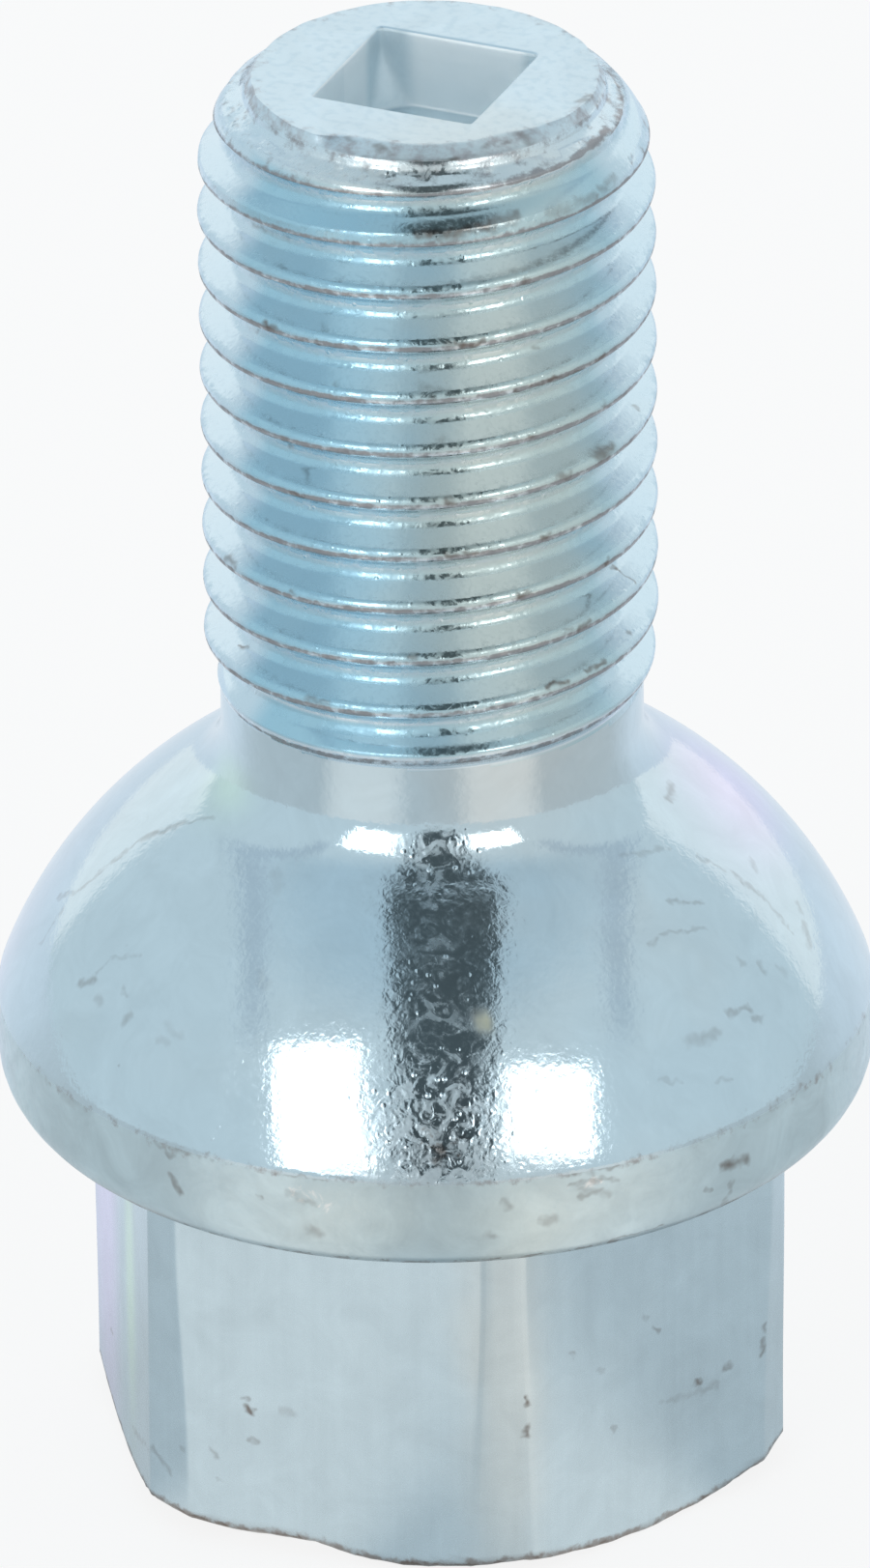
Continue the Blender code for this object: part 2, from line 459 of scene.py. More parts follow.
def hexPlace(column, height, shrink=1.0):
    share = smoothStep(height, *hexHead["cornerHeights"])
    angle = columnAngle(column)
    corner = hexHead["flatAngle"] + 30 + 60 * round((angle - hexHead["flatAngle"] - 30) / 60)
    away = besideCorner(angle - corner, between(hexHead["cornerBand"], share))
    flat = hexHead["acrossFlats"] / 2 / math.cos(math.radians(30 - abs(away)))
    band = between(hexHead["cornerDistance"], share) / math.cos(math.radians(away))
    radius = softMin(flat, band, hexHead["edgeRounding"])
    if height < hexHead["endBelow"]:
        way = direction(angle)
        ragged = 0.0
        for scale, part, shift in hexHead["endLumps"]:
            ragged += part * noise.noise(way * scale + Vector(shift))
        foot = hexHead["endFaceRadius"] + hexHead["endUnevenness"] * ragged
        foot += hexHead["endSlope"] * (height - footRise(angle))
        radius = softMin(radius, foot, hexHead["endRounding"])
    return around(corner + away, radius * shrink, height)


def undersidePlace(column, share):
    outer = onColumn(column, collar["radius"] - collar["lowerRounding"], collar["bottom"])
    return outer.lerp(hexPlace(column, collar["bottom"]), share)


def addBody(bm, columnOf):
    ring = openRing(bm, thread["cutAtNeck"])
    for point in bodyProfile():
        ring = nextRing(bm, ring, columnOf, lambda c: onColumn(c, point.x, point.y))
    for share in collar["undersideShares"]:
        ring = nextRing(bm, ring, columnOf, lambda c: undersidePlace(c, share))
    for height in hexHead["rowHeights"]:
        ring = nextRing(bm, ring, columnOf, lambda c: hexPlace(c, height))
    for share in hexHead["endFaceShares"]:
        ring = nextRing(bm, ring, columnOf, lambda c: hexPlace(c, 0.0, share))
    closeRing(bm, ring, (0, 0, 0))


finishPlaces = {
    "recessReach": 3.2,
    "recessHeights": (36.5, 39.166),
    "tipFrom": 38.93,
    "undersideLean": -0.9,
}


def finishFor(face):
    centre = face.calc_center_median()
    low, high = finishPlaces["recessHeights"]
    if low < centre.z < high and centre.xy.length < finishPlaces["recessReach"]:
        return "recessZinc"
    if centre.z > finishPlaces["tipFrom"]:
        return "tipZinc"
    if centre.z > thread["fadeFrom"]:
        return "threadZinc"
    if centre.z > collar["top"]:
        return "ballZinc"
    if centre.z > collar["bottom"] - 0.01 and face.normal.z > finishPlaces["undersideLean"]:
        return "collarZinc"
    return "hexZinc"


def openEdges(bm):
    return sum(1 for e in bm.edges if len(e.link_faces) != 2)


def makeBolt():
    bm = threadSpin()
    columnOf = bm.verts.layers.int.new("column")
    shapeThread(bm, columnOf)
    trimThread(bm, columnOf)
    addTip(bm, columnOf)
    addBody(bm, columnOf)
    bm.verts.layers.int.remove(columnOf)
    bmesh.ops.recalc_face_normals(bm, faces=bm.faces)
    finishNames = list(finishes)
    for face in bm.faces:
        face.smooth = True
        face.material_index = finishNames.index(finishFor(face))
    bmesh.ops.scale(bm, vec=(0.001, 0.001, 0.001), verts=bm.verts)
    mesh = bpy.data.meshes.new("wheelBolt")
    bm.to_mesh(mesh)
    print("bolt mesh:", len(mesh.polygons), "faces, open edges:", openEdges(bm))
    bm.free()
    piece = bpy.data.objects.new("zincWheelBolt", mesh)
    scene.collection.objects.link(piece)
    return piece


# Where the finish changes over the bolt, and where light and shade are painted on it

patches = {  # angle, height, half width in degrees, half height, amount
    "grimeAndPaintedShade": [
        # painted shade and dirt: the first two darken the front of the ball where the dark gap between the
        # softboxes is mirrored, with brown dirt there
        (-70.5, 14.0, 6.5, 1.1, 0.60),
        (-66.5, 15.3, 2.0, 0.5, 0.3),
        (-60.0, 37.75, 12.0, 0.2, 0.35),
        (-22.0, 3.4, 11.0, 1.5, 0.16),
        (-28.0, 11.5, 7.0, 0.9, 0.14),
        (-107.0, 12.2, 6.0, 0.8, 0.14),
    ],
    "warmth": [
        (-46.0, 30.0, 36.0, 10.5, 1.1),
        (-72.0, 12.0, 30.0, 1.6, 0.5),
        (-60.0, 5.5, 7.0, 6.0, 1.0),
        (-70.0, 38.55, 45.0, 0.45, 0.9),
    ],
    "bloom": [  # green where it is more than none, violet where it is less
        (-141.5, 6.0, 5.5, 4.6, 0.9),
        (-166.0, 6.0, 13.0, 8.0, -1.0),
        (-138.0, 19.9, 14.0, 0.8, 0.6),
        (27.0, 18.1, 24.0, 1.5, -0.8),
    ],
    "pitted": [
        (-69.5, 17.2, 6.0, 2.6, 0.65),
        (-69.5, 19.7, 9.0, 0.6, 0.95),
        (-70.5, 14.0, 7.0, 1.4, 1.7),
        (-84.0, 14.0, 2.5, 2.4, 0.25),
        (-55.0, 14.0, 2.5, 2.2, 0.25),
        (-101.0, 14.3, 2.2, 2.4, 0.4),
        (-38.0, 14.3, 2.2, 2.0, 0.4),
    ],
    "whitish": [
        (-87.8, 12.5, 2.6, 0.28, 1.0),
        (-84.5, 12.2, 1.6, 0.35, 0.6),
        (-49.5, 12.55, 4.2, 0.33, 0.9),
        (-56.5, 3.2, 1.2, 0.5, 0.6),
    ],
    "tan": [
        (-62.7, 16.60, 1.4, 0.27, 1.2),
    ],
}

handling = {  # where the bolt is worn, and how much: the first of two amounts is in front
    "crest": (0.70, 0.80),
    "crestSide": (10, 30),
    "crestMiddle": -0.07,
    "crestEdge": (0.15, 0.09),
    "leadFrom": 36.9,
    "lead": (0.80, 1.00),  # the second is to the right of the front
    "leadMiddle": 50,
    "leadSide": (40, 15),
    "leadEdge": (0.28, 0.12),
    "leadAbove": 0.05,
    "leadOutside": 0.35,
    "shoulder": 0.42,
    "shoulderFoot": (38.3, 38.5),
    "shoulderTop": (39.19, 39.1),
    "shoulderReach": 3.7,
    "bevelFrom": 38.9,
    "bevel": 0.60,
    "bevelLean": (0.99, 0.93),
    "faceEdge": 0.50,
    "faceEdgeFrom": (-0.32, -0.04),
    "collar": (0.56, 0.44),
    "collarSide": (20, 40),
    "collarWidth": (0.16, 0.32),
    "collarWithin": 0.9,
    "footBelow": 1.5,
    "footReach": 7.6,
    "foot": 0.75,
    "footEdge": (0.42, 0.05),
}

shading = {  # where the plating is painted paler as painted light, and where it is paler at the tip, rougher or stained
    "underFlankPaintedLight": (0.15, -0.4),
    "threadSidePaintedLight": (0.50, 0.44),  # left and right
    "threadSidePaintedLightEdge": (50, 61),
    "tip": 0.5,
    "tipEdge": (38.2, 38.5),
    "recessReach": 3.3,
    "recessHeights": (36.0, 39.186),
    "wallLean": (0.95, 0.75),
    "lightWallEdges": ((42, 50), (127, 112)),
    "leftWall": 0.85,
    "leftWallEdge": (137, 150),
    "rightWall": 0.7,
    "rightWallTo": 40,
    "otherWall": 0.25,
    "pitsTo": 38.9,
    "pits": 0.8,
    "crestPitsEdge": (0.26, 0.16),
    "rootPitsEdge": (0.45, 0.58),
    "stain": 0.75,
    "footStainEdge": (0.24, 0.03),
    "footStainReach": (7.6, 8.0),
    "collarStainHeight": 10.40,
    "collarStainEdge": (0.40, 0.14),
    "collarStainReach": (10.3, 10.6),
}


def patchAmount(spots, angle, height):
    total = 0.0
    for at, level, wide, tall, amount in spots:
        total += amount * math.exp(-(turnFrom(at, angle) / wide) ** 2 - ((height - level) / tall) ** 2)
    return total


def aboveCrest(angle, height):
    crest = (height - bolt["height"]) / thread["pitch"] - (angle - thread["startAngle"]) / 360
    return (crest - round(crest)) * thread["pitch"]


def aboveFoot(angle, height, radius):
    # the end face's chamfer meets the flats higher up at the corners
    return height - max(0.0, radius - hexHead["endFaceRadius"]) / hexHead["endSlope"] - footRise(angle)


def threadWear(angle, height, side):
    above = aboveCrest(angle, height)
    if height <= handling["leadFrom"]:
        worn = between(handling["crest"], smoothStep(abs(side), *handling["crestSide"]))
        return worn * smoothStep(abs(above - handling["crestMiddle"]), *handling["crestEdge"])
    # the lead cuts the crest away, and its lower rim is the worn edge
    rim = thread["crestApex"] - abs(above) * thread["flankSlope"] - leadRadius(height)
    worn = between(handling["lead"], smoothStep(abs(side - handling["leadMiddle"]), *handling["leadSide"]))
    worn *= smoothStep(abs(rim), *handling["leadEdge"]) * (above < handling["leadAbove"])
    return max(worn, handling["leadOutside"] * (rim > 0))


def tipWear(angle, height, radius, normal):
    worn = handling["shoulder"] * smoothStep(height, *handling["shoulderFoot"])
    worn *= smoothStep(height, *handling["shoulderTop"])
    if height > handling["bevelFrom"]:
        worn = max(worn, handling["bevel"] * smoothStep(normal.z, *handling["bevelLean"]))
        inside = radius - faceEdge(angle)
        worn = max(worn, handling["faceEdge"] * smoothStep(inside, *handling["faceEdgeFrom"]))
    return worn


def collarWear(height, side):
    # in front the worn line is narrow, at the sides it is wide and faint
    faint = smoothStep(abs(side), *handling["collarSide"])
    off = (height - collar["top"]) / between(handling["collarWidth"], faint)
    return between(handling["collar"], faint) * math.exp(-off ** 2)


def wearAmount(angle, height, radius, normal):
    side = turnFrom(view["azimuth"], angle)
    worn = 0.0
    if thread["fadeFrom"] < height < thread["cutAtTip"] and radius > tip["pilot"][0][1]:
        worn = threadWear(angle, height, side)
    if height > handling["shoulderFoot"][0] and radius > handling["shoulderReach"]:
        worn = max(worn, tipWear(angle, height, radius, normal))
    if abs(height - collar["top"]) < handling["collarWithin"]:
        worn = max(worn, collarWear(height, side))
    if height < handling["footBelow"] and radius > handling["footReach"]:
        low = smoothStep(aboveFoot(angle, height, radius), *handling["footEdge"])
        worn = max(worn, handling["foot"] * low)
    return worn


def recessPaintedLight(angle, normal):
    # painted light: the wall that faces the lens is painted the lightest, and the corner left of it the
    # darkest
    wall = smoothStep(normal.z, *shading["wallLean"])
    start, end = shading["lightWallEdges"]
    share = smoothStep(angle, *start) * smoothStep(angle, *end)
    share = max(share, shading["leftWall"] * smoothStep(angle, *shading["leftWallEdge"]))
    share = max(share, shading["rightWall"] * (angle < shading["rightWallTo"]), shading["otherWall"])
    return wall * share


def paleAndPaintedLightAmount(angle, height, radius, normal):
    low, high = shading["recessHeights"]
    if radius < shading["recessReach"] and low < height < high:
        return recessPaintedLight(angle, normal)
    # painted light: the lower flanks and the sides of the thread are painted paler, and the tip is paler too
    side = turnFrom(view["azimuth"], angle)
    sidePaintedLight = shading["threadSidePaintedLight"][side > 0] * smoothStep(abs(side), *shading["threadSidePaintedLightEdge"])
    tipPale = shading["tip"] * smoothStep(height, *shading["tipEdge"])
    return max(smoothStep(normal.z, *shading["underFlankPaintedLight"]), sidePaintedLight, tipPale)


def threadPits(angle, height):
    # rolled crests and roots are rougher than the flanks
    if not thread["fadeFrom"] < height < shading["pitsTo"]:
        return 0.0
    off = abs(aboveCrest(angle, height))
    rough = smoothStep(off, *shading["crestPitsEdge"]) + smoothStep(off, *shading["rootPitsEdge"])
    return shading["pits"] * rough


def edgeGrime(angle, height, radius):
    foot = 0.0
    if height < handling["footBelow"]:
        foot = smoothStep(aboveFoot(angle, height, radius), *shading["footStainEdge"])
        foot *= smoothStep(radius, *shading["footStainReach"])
    collarFoot = smoothStep(abs(height - shading["collarStainHeight"]), *shading["collarStainEdge"])
    collarFoot *= smoothStep(radius, *shading["collarStainReach"])
    return shading["stain"] * (foot + collarFoot)


def paint(mesh):
    names = ("wear", "grimeAndPaintedShade", "warmth", "bloom", "pitted", "paleAndPaintedLight", "whitish", "tan")
    for name in names:
        mesh.attributes.new(name, "FLOAT", "POINT")
    layers = {name: mesh.attributes[name].data for name in names}
    for i, v in enumerate(mesh.vertices):
        point = v.co * 1000
        radius, angle, height = point.xy.length, angleOf(point), point.z
        amounts = {name: patchAmount(spots, angle, height) for name, spots in patches.items()}
        amounts["wear"] = wearAmount(angle, height, radius, v.normal)
        amounts["paleAndPaintedLight"] = paleAndPaintedLightAmount(angle, height, radius, v.normal)
        amounts["grimeAndPaintedShade"] += edgeGrime(angle, height, radius)
        amounts["pitted"] += threadPits(angle, height)
        for name, amount in amounts.items():
            layers[name][i].value = amount


# The finish

plain = {  # what most of the finishes share
    "pits": 0.8,
    "matt": 0.1,
    "mottle": 0.20,
    "streaks": 0.0,
    "roughPatches": 0.10,
    "roughWorn": 0.12,
    "grainScale": 2400.0,
    "wearContrast": 1.6,
    "wearCover": 0.85,
    "grimeAndShadeCover": 0.85,
    "markStrength": 1.0,
}

finishes = {
    "threadZinc": {
        **plain, "pits": 2.6, "matt": 0.40, "mottle": 0.10, "roughness": 0.13,
        "grainScale": 5200.0, "grainDepth": 0.0035, "plating": (0.405, 0.655, 0.785),
        # this lighter colour is painted light on the lower flanks and the sides of the thread
        "warm": (0.60, 0.69, 0.665), "worn": (0.32, 0.305, 0.315), "paleAndPaintedLight": (0.92, 0.955, 1.0), "palest": 0.95,
    },
    "ballZinc": {
        **plain, "pits": 2.4, "matt": 0.34, "mottle": 0.24, "roughness": 0.085, "roughPatches": 0.05,
        "grainScale": 4600.0, "grainDepth": 0.006, "markStrength": 0.7, "plating": (0.605, 0.735, 0.805),
        "warm": (0.66, 0.70, 0.70), "worn": (0.38, 0.37, 0.37), "driedSpot": (0.05, 1.05),
        "driedCover": 0.9,
    },
    "collarZinc": {
        **plain, "mottle": 0.50, "roughness": 0.30, "roughPatches": 0.08,
        "grainScale": 3000.0, "grainDepth": 0.008, "plating": (0.62, 0.75, 0.80),
        "warm": (0.69, 0.76, 0.74), "worn": (0.38, 0.36, 0.36),
    },
    "hexZinc": {
        **plain, "pits": 0.5, "mottle": 0.26, "streaks": 0.12, "roughness": 0.27, "roughPatches": 0.01,
        "grainScale": 2600.0, "grainDepth": 0.0008, "plating": (0.605, 0.735, 0.805),
        "warm": (0.71, 0.78, 0.79), "worn": (0.34, 0.32, 0.31),
    },
    "tipZinc": {
        **plain, "roughness": 0.38, "grainDepth": 0.012, "wearContrast": 1.15,
        "plating": (0.66, 0.80, 0.88), "warm": (0.66, 0.72, 0.72), "worn": (0.45, 0.44, 0.46),
    },
    "recessZinc": {
        **plain, "pits": 0.3, "roughness": 0.6, "roughPatches": 0.05, "grainDepth": 0.006,
        "plating": (0.64, 0.75, 0.80), "warm": (0.66, 0.76, 0.80), "worn": (0.4, 0.4, 0.4),
        # this lighter colour is painted light on the recess walls that face the lens
        "paleAndPaintedLight": (0.96, 0.99, 1.0), "palest": 1.0,
    },
}

marks = {  # angle, radius and height of both ends, half thickness and strength
    "threadZinc": [
        (-114.8, 5.89, 34.14, -112.2, 5.9, 34.13, 0.12, 0.8),
        (-99.0, 5.88, 34.1, -99.2, 5.69, 33.96, 0.07, 0.5),
        (-108.8, 5.87, 31.04, -114.1, 5.08, 30.5, 0.1, 0.5),
        (-106.8, 5.89, 29.59, -104.2, 5.87, 29.57, 0.09, 0.6),
        (-66.3, 5.89, 29.87, -64.8, 5.9, 29.81, 0.11, 0.9),
        (-68.9, 5.9, 32.81, -67.3, 5.66, 32.58, 0.12, 0.6),
        (-73.0, 5.56, 34.0, -64.1, 5.87, 34.24, 0.11, 0.45),
        (-62.7, 5.89, 34.29, -61.2, 5.89, 34.28, 0.11, 0.85),
        (-59.8, 5.89, 34.29, -56.9, 5.9, 34.34, 0.1, 0.8),
        (-48.2, 5.83, 32.76, -39.2, 5.89, 32.88, 0.06, 0.75),
        (-39.2, 5.89, 32.88, -20.5, 5.88, 32.93, 0.07, 0.85),
        (-39.0, 5.88, 34.35, -31.2, 5.86, 34.36, 0.06, 0.8),
        (-44.7, 5.87, 31.49, -44.1, 5.9, 31.43, 0.07, 0.6),
        (-35.5, 5.89, 29.98, -32.5, 5.89, 29.99, 0.1, 0.6),
        (-22.3, 5.78, 30.17, -17.2, 5.81, 30.17, 0.17, 0.75),
        (2.4, 5.54, 30.41, 2.4, 5.62, 30.36, 0.07, 0.4),
        (-21.2, 5.85, 31.62, -20.1, 5.89, 31.56, 0.07, 0.4),
        (-40.7, 5.89, 28.49, -39.3, 5.88, 28.5, 0.09, 0.8),
        (-134.0, 5.82, 26.68, -130.1, 5.83, 26.69, 0.12, 0.55),
        (-108.0, 5.87, 26.74, -106.7, 5.88, 26.72, 0.07, 0.5),
        (-75.5, 5.8, 25.44, -74.5, 5.84, 25.41, 0.1, 0.6),
        (-65.9, 5.9, 28.34, -64.0, 5.9, 28.33, 0.09, 0.7),
        (-136.8, 5.43, 23.89, -133.3, 5.36, 23.94, 0.07, 0.6),
        (-103.5, 5.85, 23.78, -97.2, 5.87, 23.78, 0.09, 0.5),
        (-61.3, 5.89, 28.39, -59.4, 5.9, 28.37, 0.07, 0.6),
        (-47.4, 5.89, 26.95, -45.0, 5.89, 26.95, 0.09, 0.8),
        (-29.9, 5.87, 25.55, -26.6, 5.87, 25.57, 0.09, 0.7),
        (-34.4, 5.86, 25.56, -32.6, 5.86, 25.56, 0.07, 0.4),
        (-6.5, 5.62, 24.33, -5.8, 5.7, 24.28, 0.07, 0.45),
        (-39.1, 5.83, 24.07, -33.2, 5.84, 24.08, 0.08, 0.8),
        (-27.6, 5.83, 24.11, -20.2, 5.84, 24.14, 0.06, 0.7),
        (-19.8, 5.89, 27.05, -4.4, 5.27, 26.04, 0.07, 0.8),
        (-4.4, 5.27, 26.04, -5.3, 5.79, 25.73, 0.05, 0.6),
        (-72.5, 5.75, 37.47, -63.2, 5.76, 37.47, 0.15, 0.8),
        (-63.2, 5.76, 37.47, -54.3, 5.71, 37.57, 0.15, 0.8),
        (-54.3, 5.71, 37.57, -46.8, 5.62, 37.64, 0.17, 0.7),
        (-102.8, 5.87, 35.58, -103.2, 5.62, 35.4, 0.1, 0.7),
        (-65.6, 5.88, 34.39, -64.2, 5.9, 34.33, 0.09, 0.5),
        (-38.4, 5.12, 33.5, -36.7, 5.16, 33.47, 0.09, 0.5),
        (-45.8, 5.89, 35.85, -43.1, 5.85, 35.8, 0.09, 0.6),
        (-129.3, 5.06, 36.25, -119.7, 5.05, 36.36, 0.1, 0.55),
        (-117.2, 5.05, 36.36, -113.2, 5.05, 36.39, 0.1, 0.5),
        (-28.3, 5.72, 37.59, -21.9, 5.74, 37.54, 0.11, 0.35),
        (-37.3, 5.74, 37.55, -30.5, 5.74, 37.54, 0.11, 0.28),
        (-128.0, 5.06, 33.24, -132.4, 5.06, 33.21, 0.07, 0.4),
        (-18.8, 5.71, 37.6, -12.2, 5.68, 37.66, 0.12, 0.35),
    ],
    "tipZinc": [
        (-42.8, 5.15, 38.45, -39.1, 5.16, 38.45, 0.17, 0.75),
        (-112.3, 5.17, 38.17, -106.8, 5.16, 38.23, 0.1, 0.7),
        (-118.6, 5.17, 38.22, -113.9, 5.17, 38.2, 0.1, 0.4),
        (-174.6, 5.42, 37.24, -134.8, 5.21, 38.39, 0.1, 0.55),
        (-134.8, 5.21, 38.39, -128.4, 5.19, 38.35, 0.09, 0.5),
        (3.8, 5.52, 37.86, 15.1, 5.52, 37.89, 0.12, 0.6),
        (-22.3, 5.03, 38.64, -19.1, 5.0, 38.66, 0.15, 0.6),
        (-127.2, 4.71, 38.98, -124.4, 4.72, 38.96, 0.1, 0.6),
        (-119.4, 4.7, 39.0, -116.8, 4.7, 39.02, 0.1, 0.55),
        (-98.5, 4.18, 39.2, -95.3, 4.2, 39.19, 0.1, 0.45),
        (-87.5, 4.17, 39.2, -82.6, 4.4, 39.18, 0.12, 0.6),
        (-91.2, 4.72, 38.97, -88.2, 4.67, 39.06, 0.1, 0.4),
        (-73.4, 4.71, 38.98, -66.8, 4.76, 38.89, 0.12, 0.7),
        (-73.9, 4.85, 38.78, -68.2, 4.96, 38.66, 0.15, 0.5),
        (-66.8, 4.7, 39.02, -53.2, 4.67, 39.06, 0.1, 0.7),
        (-50.7, 4.39, 39.18, -37.5, 4.36, 39.19, 0.1, 0.5),
        (-35.9, 4.19, 39.2, -33.9, 4.65, 39.08, 0.15, 0.5),
        (-3.9, 4.32, 39.19, 2.1, 4.47, 39.17, 0.1, 0.4),
        (-11.8, 4.97, 38.67, 0.1, 5.04, 38.56, 0.07, 0.4),
    ],
    "collarZinc": [
        (-107.7, 11.45, 12.69, -105.7, 11.43, 13.01, 0.1, 0.5),
        (-105.7, 11.43, 13.01, -101.0, 11.42, 13.07, 0.09, 0.45),
        (-107.0, 11.45, 12.14, -105.8, 11.45, 11.73, 0.12, 0.6),
        (-86.8, 11.44, 11.45, -85.8, 11.44, 11.42, 0.15, 0.35),
        (-94.2, 11.45, 12.19, -93.7, 11.45, 12.18, 0.07, 0.4),
        (-29.8, 11.45, 12.02, -26.0, 11.45, 11.91, 0.15, 0.75),
        (-28.7, 11.44, 11.37, -28.9, 11.18, 10.71, 0.1, 0.5),
        (-33.0, 11.45, 11.51, -32.0, 11.44, 11.41, 0.07, 0.4),
        (-46.7, 11.17, 10.7, -38.8, 11.2, 10.74, 0.06, 0.5),
        (-53.3, 11.42, 13.05, -46.1, 11.44, 12.99, 0.07, 0.45),
        (-52.9, 11.45, 12.71, -47.3, 11.45, 12.65, 0.07, 0.4),
        (-51.6, 11.45, 12.32, -48.6, 11.45, 12.32, 0.1, 0.45),
        (-109.8, 11.43, 13.0, -107.9, 11.45, 12.79, 0.07, 0.3),
        (-140.4, 11.38, 13.17, -133.8, 11.3, 13.39, 0.12, 0.3),
        (-133.8, 11.3, 13.39, -128.7, 11.21, 13.6, 0.1, 0.25),
        (-127.8, 11.45, 12.84, -121.0, 11.36, 13.23, 0.17, 0.22),
        (-121.0, 11.36, 13.23, -111.8, 11.35, 13.26, 0.15, 0.3),
        (-111.8, 11.35, 13.26, -105.9, 11.44, 12.97, 0.12, 0.3),
        (-91.5, 11.44, 13.0, -85.7, 11.43, 13.03, 0.06, 0.35),
        (-85.7, 11.43, 13.03, -80.3, 11.41, 13.08, 0.06, 0.35),
        (-52.8, 11.42, 13.08, -46.2, 11.45, 12.55, 0.07, 0.3),
        (-51.6, 11.45, 12.55, -47.8, 11.45, 12.22, 0.1, 0.3),
        (-89.6, 11.45, 12.45, -86.2, 11.45, 12.27, 0.1, 0.25),
        (-61.8, 11.45, 12.41, -61.1, 11.45, 12.31, 0.12, 0.35),
        (-56.4, 11.45, 11.74, -55.0, 11.45, 11.76, 0.12, 0.35),
        (-63.6, 11.45, 11.5, -62.9, 11.44, 11.46, 0.1, 0.3),
    ],
    "ballZinc": [
        (-91.5, 11.44, 12.97, -80.6, 11.42, 13.06, 0.04, 0.45),
        (-63.8, 9.2, 16.8, -63.1, 9.43, 16.52, 0.15, 0.35),
        (-134.7, 6.35, 19.21, -140.3, 6.9, 18.85, 0.07, 0.35),
        (-140.3, 6.9, 18.85, -146.0, 7.81, 18.16, 0.1, 0.5),
        (-146.0, 7.81, 18.16, -148.5, 8.86, 17.18, 0.07, 0.38),
        (-148.5, 8.86, 17.18, -149.7, 9.37, 16.6, 0.07, 0.42),
        (-149.7, 9.37, 16.6, -154.9, 9.85, 15.98, 0.07, 0.35),
        (-150.4, 9.79, 16.07, -149.8, 10.42, 15.14, 0.06, 0.3),
        (-133.7, 10.29, 15.34, -131.2, 10.1, 15.64, 0.12, 0.6),
        (-131.6, 10.0, 15.78, -130.3, 9.68, 16.21, 0.06, 0.25),
        (-130.3, 9.68, 16.21, -124.9, 9.35, 16.62, 0.06, 0.25),
        (-128.4, 10.3, 15.32, -127.5, 10.31, 15.31, 0.12, 0.3),
        (-121.3, 10.34, 15.26, -120.6, 10.24, 15.41, 0.12, 0.42),
        (-124.5, 9.96, 15.83, -122.8, 9.99, 15.79, 0.07, 0.25),
        (-113.8, 10.35, 15.24, -111.8, 10.34, 15.25, 0.1, 0.22),
        (-113.7, 10.12, 15.61, -110.5, 10.19, 15.5, 0.1, 0.16),
        (-100.6, 8.88, 17.16, -99.2, 9.02, 17.0, 0.15, 0.16),
        (-107.3, 6.79, 18.93, -104.6, 7.08, 18.73, 0.15, 0.16),
        (8.3, 6.33, 19.23, 1.7, 6.43, 19.16, 0.12, 0.48),
        (-24.3, 6.75, 18.95, -11.7, 7.14, 18.68, 0.07, 0.28),
        (-7.1, 7.67, 18.28, -2.7, 8.41, 17.63, 0.06, 0.32),
        (-2.7, 8.41, 17.63, -0.7, 9.12, 16.89, 0.07, 0.4),
        (-0.7, 9.12, 16.89, 0.2, 9.86, 15.97, 0.06, 0.32),
        (4.6, 9.98, 15.81, 2.0, 10.21, 15.47, 0.12, 0.4),
        (7.0, 9.68, 16.21, 6.3, 9.76, 16.11, 0.1, 0.35),
        (-21.8, 8.04, 17.97, -14.6, 8.41, 17.62, 0.07, 0.42),
        (-30.4, 8.65, 17.39, -26.1, 8.61, 17.43, 0.07, 0.38),
        (-26.1, 8.61, 17.43, -18.1, 8.81, 17.23, 0.07, 0.34),
        (-22.7, 10.2, 15.49, -18.1, 10.27, 15.37, 0.1, 0.5),
        (-18.0, 10.42, 15.13, -17.0, 10.5, 14.99, 0.1, 0.45),
        (-31.1, 10.32, 15.28, -27.6, 10.39, 15.19, 0.15, 0.3),
        (-28.3, 10.39, 15.18, -25.7, 10.36, 15.22, 0.12, 0.38),
        (-37.5, 10.68, 14.68, -34.2, 10.79, 14.48, 0.07, 0.26),
        (-28.7, 10.94, 14.18, -26.3, 10.99, 14.08, 0.07, 0.26),
        (-15.2, 9.61, 16.31, -14.9, 9.69, 16.2, 0.1, 0.3),
        (-11.6, 9.81, 16.03, -11.4, 9.94, 15.86, 0.1, 0.32),
        (-8.2, 10.03, 15.73, -7.4, 10.19, 15.5, 0.12, 0.24),
        (4.5, 8.56, 17.48, 3.6, 8.68, 17.36, 0.1, 0.3),
        (-63.4, 9.23, 16.76, -63.3, 9.37, 16.6, 0.17, 0.3),
    ],
    "hexZinc": [
        (-105.2, 8.76, 4.13, -104.4, 8.72, 4.04, 0.1, 1.0),
        (-105.7, 8.78, 4.44, -105.2, 8.76, 4.37, 0.07, 0.4),
        (-105.0, 8.75, 3.22, -103.6, 8.69, 3.2, 0.07, 0.4),
        (-111.4, 9.08, 2.69, -110.6, 9.03, 2.6, 0.09, 0.35),
        (-117.0, 9.32, 2.54, -116.0, 9.33, 2.54, 0.09, 0.3),
        (-110.4, 9.01, 1.88, -110.1, 9.0, 1.83, 0.07, 0.35),
        (-98.8, 8.55, 4.22, -97.2, 8.52, 4.21, 0.12, 0.2),
        (-56.4, 9.39, 5.46, -56.2, 9.39, 5.31, 0.07, 0.8),
        (-56.5, 9.37, 4.59, -56.4, 9.36, 4.3, 0.09, 0.8),
        (-19.4, 8.6, 3.8, -18.5, 8.62, 3.69, 0.1, 0.8),
        (-12.8, 8.85, 3.88, -11.7, 8.9, 3.84, 0.1, 0.55),
        (-27.0, 8.46, 3.61, -21.0, 8.56, 3.51, 0.1, 0.25),
        (-21.0, 8.56, 3.51, -14.5, 8.77, 3.43, 0.12, 0.25),
        (-38.9, 8.55, 3.51, -38.1, 8.53, 3.43, 0.07, 0.3),
        (-47.9, 8.88, 6.21, -47.1, 8.84, 6.13, 0.07, 0.3),
        (-41.7, 8.63, 5.39, -40.4, 8.59, 5.29, 0.07, 0.2),
        (-31.2, 8.45, 6.37, -30.3, 8.45, 6.29, 0.07, 0.3),
